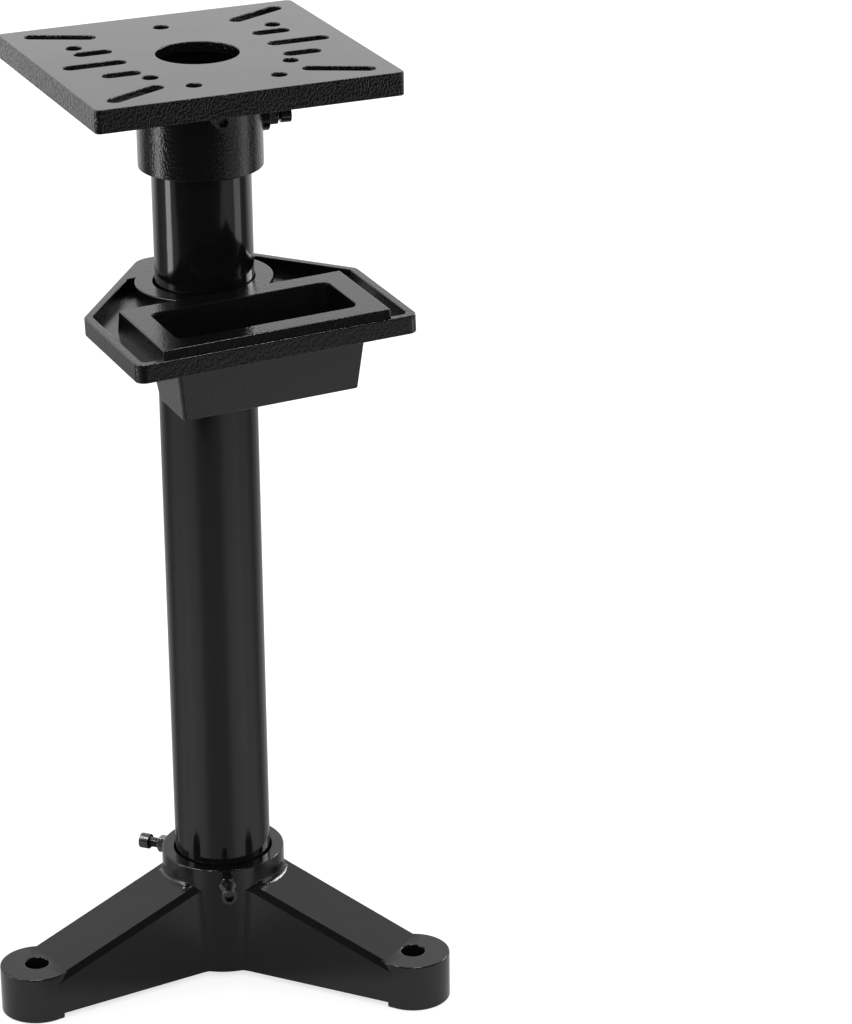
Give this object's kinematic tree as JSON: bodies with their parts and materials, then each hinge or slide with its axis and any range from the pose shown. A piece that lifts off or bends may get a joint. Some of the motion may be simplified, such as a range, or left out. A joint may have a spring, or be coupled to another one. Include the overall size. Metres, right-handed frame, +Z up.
{
  "type": "bench grinder stand",
  "caption": "Floor stand for a bench grinder: a cast tripod base, a round tube column, a sliding tray with a water pot and a slotted head plate, held by clamp screws.",
  "frame": {"origin": "on the floor at the axis of the column", "axes": "+Z up along the column, -Y to the front edge of the head plate, +X to the right of someone facing that edge"},
  "size_m": [0.3937, 0.411, 0.88],
  "materials": {
    "casting_paint": "glossy black hammered paint",
    "tube_paint": "smooth glossy black paint",
    "head_paint": "satin black top face, glossy black hammered sides",
    "black_oxide": "black oxide"
  },
  "bodies": {
    "base": {"base_casting": "casting_paint"},
    "column": {"column_tube": "tube_paint"},
    "tray": {"tray_casting": "casting_paint"},
    "head": {"head_casting": "head_paint"},
    "base_clamp_screw_front": {"base_clamp_screw_front": "black_oxide"},
    "base_lock_nut_front": {"base_lock_nut_front": "black_oxide"},
    "base_clamp_screw_left": {"base_clamp_screw_left": "black_oxide"},
    "base_lock_nut_left": {"base_lock_nut_left": "black_oxide"},
    "head_clamp_screw_front": {"head_clamp_screw_front": "black_oxide"},
    "head_lock_nut_front": {"head_lock_nut_front": "black_oxide"},
    "head_clamp_screw_right": {"head_clamp_screw_right": "black_oxide"},
    "head_lock_nut_right": {"head_lock_nut_right": "black_oxide"},
    "tray_clamp_screw": {"tray_clamp_screw": "black_oxide"},
    "tray_lock_nut": {"tray_lock_nut": "black_oxide"}
  },
  "joints": [
    {"name": "column_turn", "type": "hinge", "parent": "base", "child": "column", "pos_m": [0, 0, 0.0143], "axis": [0, 0, 1], "continuous": true},
    {"name": "tray_height", "type": "slide", "parent": "column", "child": "tray", "axis": [0, 0, 1], "range_m": [-0.48, 0.095]},
    {"name": "head_turn", "type": "hinge", "parent": "column", "child": "head", "pos_m": [0, 0, 0.8697], "axis": [0, 0, 1], "continuous": true},
    {"name": "base_clamp_screw_front_travel", "type": "slide", "parent": "base", "child": "base_clamp_screw_front", "axis": [-0.2924, -0.9563, 0], "range_m": [0, 0.008]},
    {"name": "base_lock_nut_front_turn", "type": "hinge", "parent": "base_clamp_screw_front", "child": "base_lock_nut_front", "pos_m": [-0.01804, -0.059, 0.1], "axis": [-0.2924, -0.9563, 0], "continuous": true},
    {"name": "base_clamp_screw_left_travel", "type": "slide", "parent": "base", "child": "base_clamp_screw_left", "axis": [-0.7009, 0.7133, 0], "range_m": [0, 0.008]},
    {"name": "base_lock_nut_left_turn", "type": "hinge", "parent": "base_clamp_screw_left", "child": "base_lock_nut_left", "pos_m": [-0.04325, 0.04401, 0.1], "axis": [-0.7009, 0.7133, 0], "continuous": true},
    {"name": "head_clamp_screw_front_travel", "type": "slide", "parent": "head", "child": "head_clamp_screw_front", "axis": [-0.0958, -0.9954, 0], "range_m": [0, 0.008]},
    {"name": "head_lock_nut_front_turn", "type": "hinge", "parent": "head_clamp_screw_front", "child": "head_lock_nut_front", "pos_m": [-0.00577, -0.05992, 0.839], "axis": [-0.0958, -0.9954, 0], "continuous": true},
    {"name": "head_clamp_screw_right_travel", "type": "slide", "parent": "head", "child": "head_clamp_screw_right", "axis": [0.9925, -0.1219, 0], "range_m": [0, 0.008]},
    {"name": "head_lock_nut_right_turn", "type": "hinge", "parent": "head_clamp_screw_right", "child": "head_lock_nut_right", "pos_m": [0.06531, -0.00802, 0.8174], "axis": [0.9925, -0.1219, 0], "continuous": true},
    {"name": "tray_clamp_screw_travel", "type": "slide", "parent": "tray", "child": "tray_clamp_screw", "axis": [0, 1, 0], "range_m": [0, 0.008]},
    {"name": "tray_lock_nut_turn", "type": "hinge", "parent": "tray_clamp_screw", "child": "tray_lock_nut", "pos_m": [0, 0.0664, 0.64445], "axis": [0, 1, 0], "continuous": true}
  ]
}
